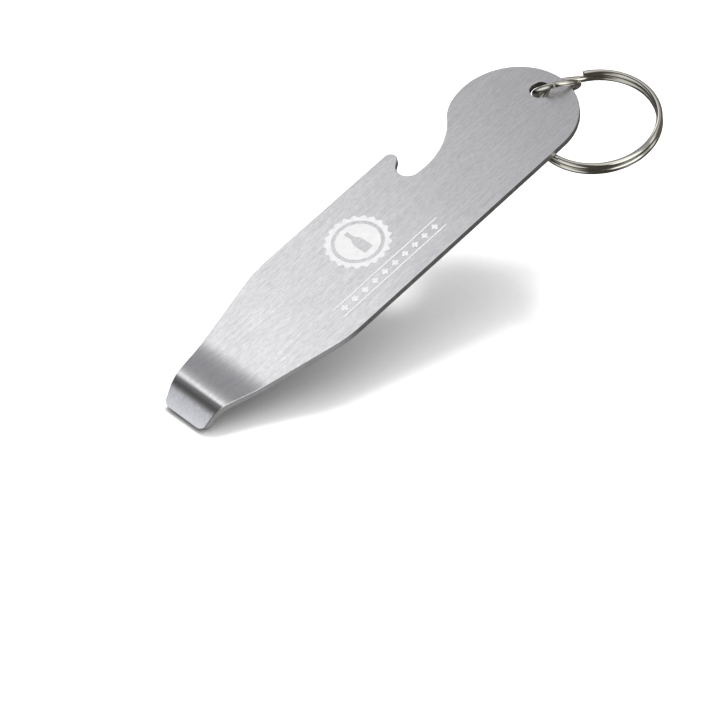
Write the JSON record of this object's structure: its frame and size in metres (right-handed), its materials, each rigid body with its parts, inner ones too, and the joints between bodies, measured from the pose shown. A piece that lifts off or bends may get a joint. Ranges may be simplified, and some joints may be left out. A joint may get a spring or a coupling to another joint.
{
  "type": "keychain bottle opener",
  "caption": "Flat stamped steel bar with a hooked side notch for crown caps, a bent-down pry lip and a small wire link carrying a split key ring.",
  "frame": {"origin": "middle of the pry lip's front edge", "axes": "+X along the plate towards the key ring end, +Y towards the side with the cap notch, +Z out of the front face"},
  "size_m": [0.133, 0.0443, 0.0099],
  "materials": {
    "plate": "fine lengthwise brushing, slightly bright edges",
    "link": "polished nickel",
    "key_ring": "polished nickel"
  },
  "bodies": {
    "opener": {"opener_plate": "plate"},
    "link": {"link_ring": "link"},
    "key_ring": {"split_ring": "key_ring"}
  },
  "joints": [
    {"name": "link_swing", "type": "hinge", "parent": "opener", "child": "link", "pos_m": [0.119, -0.0006, 0.00152], "axis": [-0.7071, -0.7071, 0], "range_deg": [0, 40]},
    {"name": "key_ring_swing", "type": "hinge", "parent": "link", "child": "key_ring", "pos_m": [0.12314, -0.00235, -0.00264], "axis": [0.2204, -0.7103, 0.6685], "range_deg": [0, 95]}
  ]
}
